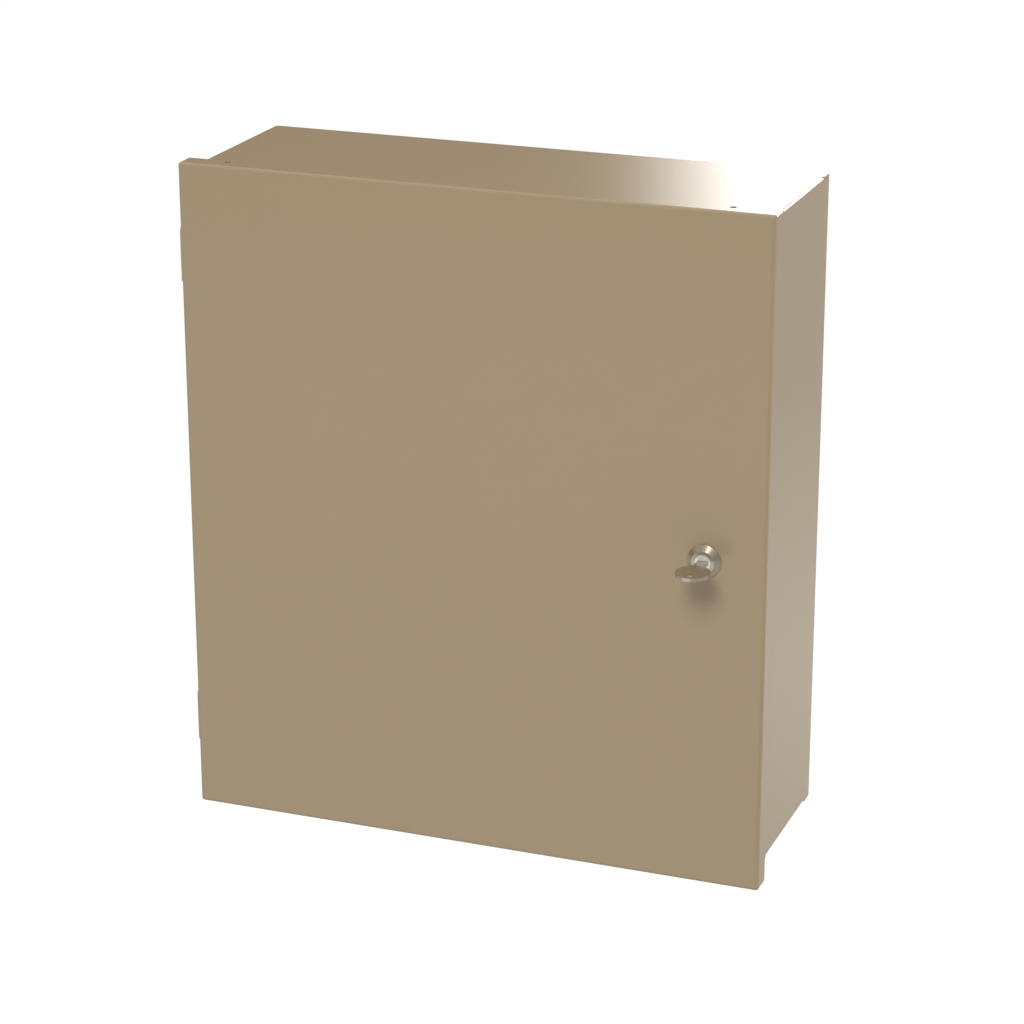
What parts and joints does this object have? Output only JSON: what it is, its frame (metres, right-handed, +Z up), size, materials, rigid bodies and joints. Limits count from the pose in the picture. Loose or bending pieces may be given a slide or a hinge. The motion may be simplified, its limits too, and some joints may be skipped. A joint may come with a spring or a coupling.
{
  "type": "wall-mounted electrical enclosure",
  "caption": "Folded sheet-steel wall enclosure with a side-hinged wrap-around door, cam lock with key, and a mounting panel inside.",
  "frame": {"origin": "centre of the four wall fixings, on the face that lies on the wall", "axes": "+X to the right seen from the front, +Y into the wall, +Z up; the door is on the -Y side with its hinges at -X"},
  "size_m": [0.4125, 0.1687, 0.4571],
  "materials": {
    "body_paint": "satin powder coat",
    "door_paint": "satin powder coat",
    "hinge_paint": "satin powder coat",
    "panel_paint": "satin powder coat",
    "zinc_steel": "bright zinc plate",
    "pin_steel": "drawn",
    "nickel": "bright nickel plate",
    "key_nickel": "nickel plate"
  },
  "bodies": {
    "enclosure": {"body_wrap": "body_paint", "top_panel": "body_paint", "bottom_panel": "body_paint", "mounting_panel": "panel_paint", "panel_studs": "zinc_steel", "panel_washers": "zinc_steel", "panel_nuts": "zinc_steel", "ground_stud": "zinc_steel", "ground_washer": "zinc_steel", "ground_nut": "zinc_steel", "upper_hinge_body_leaf": "hinge_paint", "upper_hinge_pin": "pin_steel", "lower_hinge_body_leaf": "hinge_paint", "lower_hinge_pin": "pin_steel"},
    "door": {"door_pan": "door_paint", "upper_hinge_door_leaf": "hinge_paint", "lower_hinge_door_leaf": "hinge_paint", "lock_housing": "nickel", "lock_washer": "zinc_steel", "lock_nut": "zinc_steel"},
    "lock": {"lock_plug": "nickel", "lock_cam": "zinc_steel", "cam_washer": "zinc_steel", "cam_screw": "zinc_steel"},
    "key": {"key": "key_nickel"}
  },
  "joints": [
    {"name": "door_hinge", "type": "hinge", "parent": "enclosure", "child": "door", "pos_m": [-0.2105, -0.1171, 0], "axis": [0, 0, -1], "range_deg": [0, 180]},
    {"name": "lock_turn", "type": "hinge", "parent": "door", "child": "lock", "pos_m": [0.15775, -0.125, -0.00715], "axis": [0, 1, 0], "range_deg": [0, 90]},
    {"name": "key_slide", "type": "slide", "parent": "lock", "child": "key", "axis": [0, -1, 0], "range_m": [0, 0.028]}
  ]
}
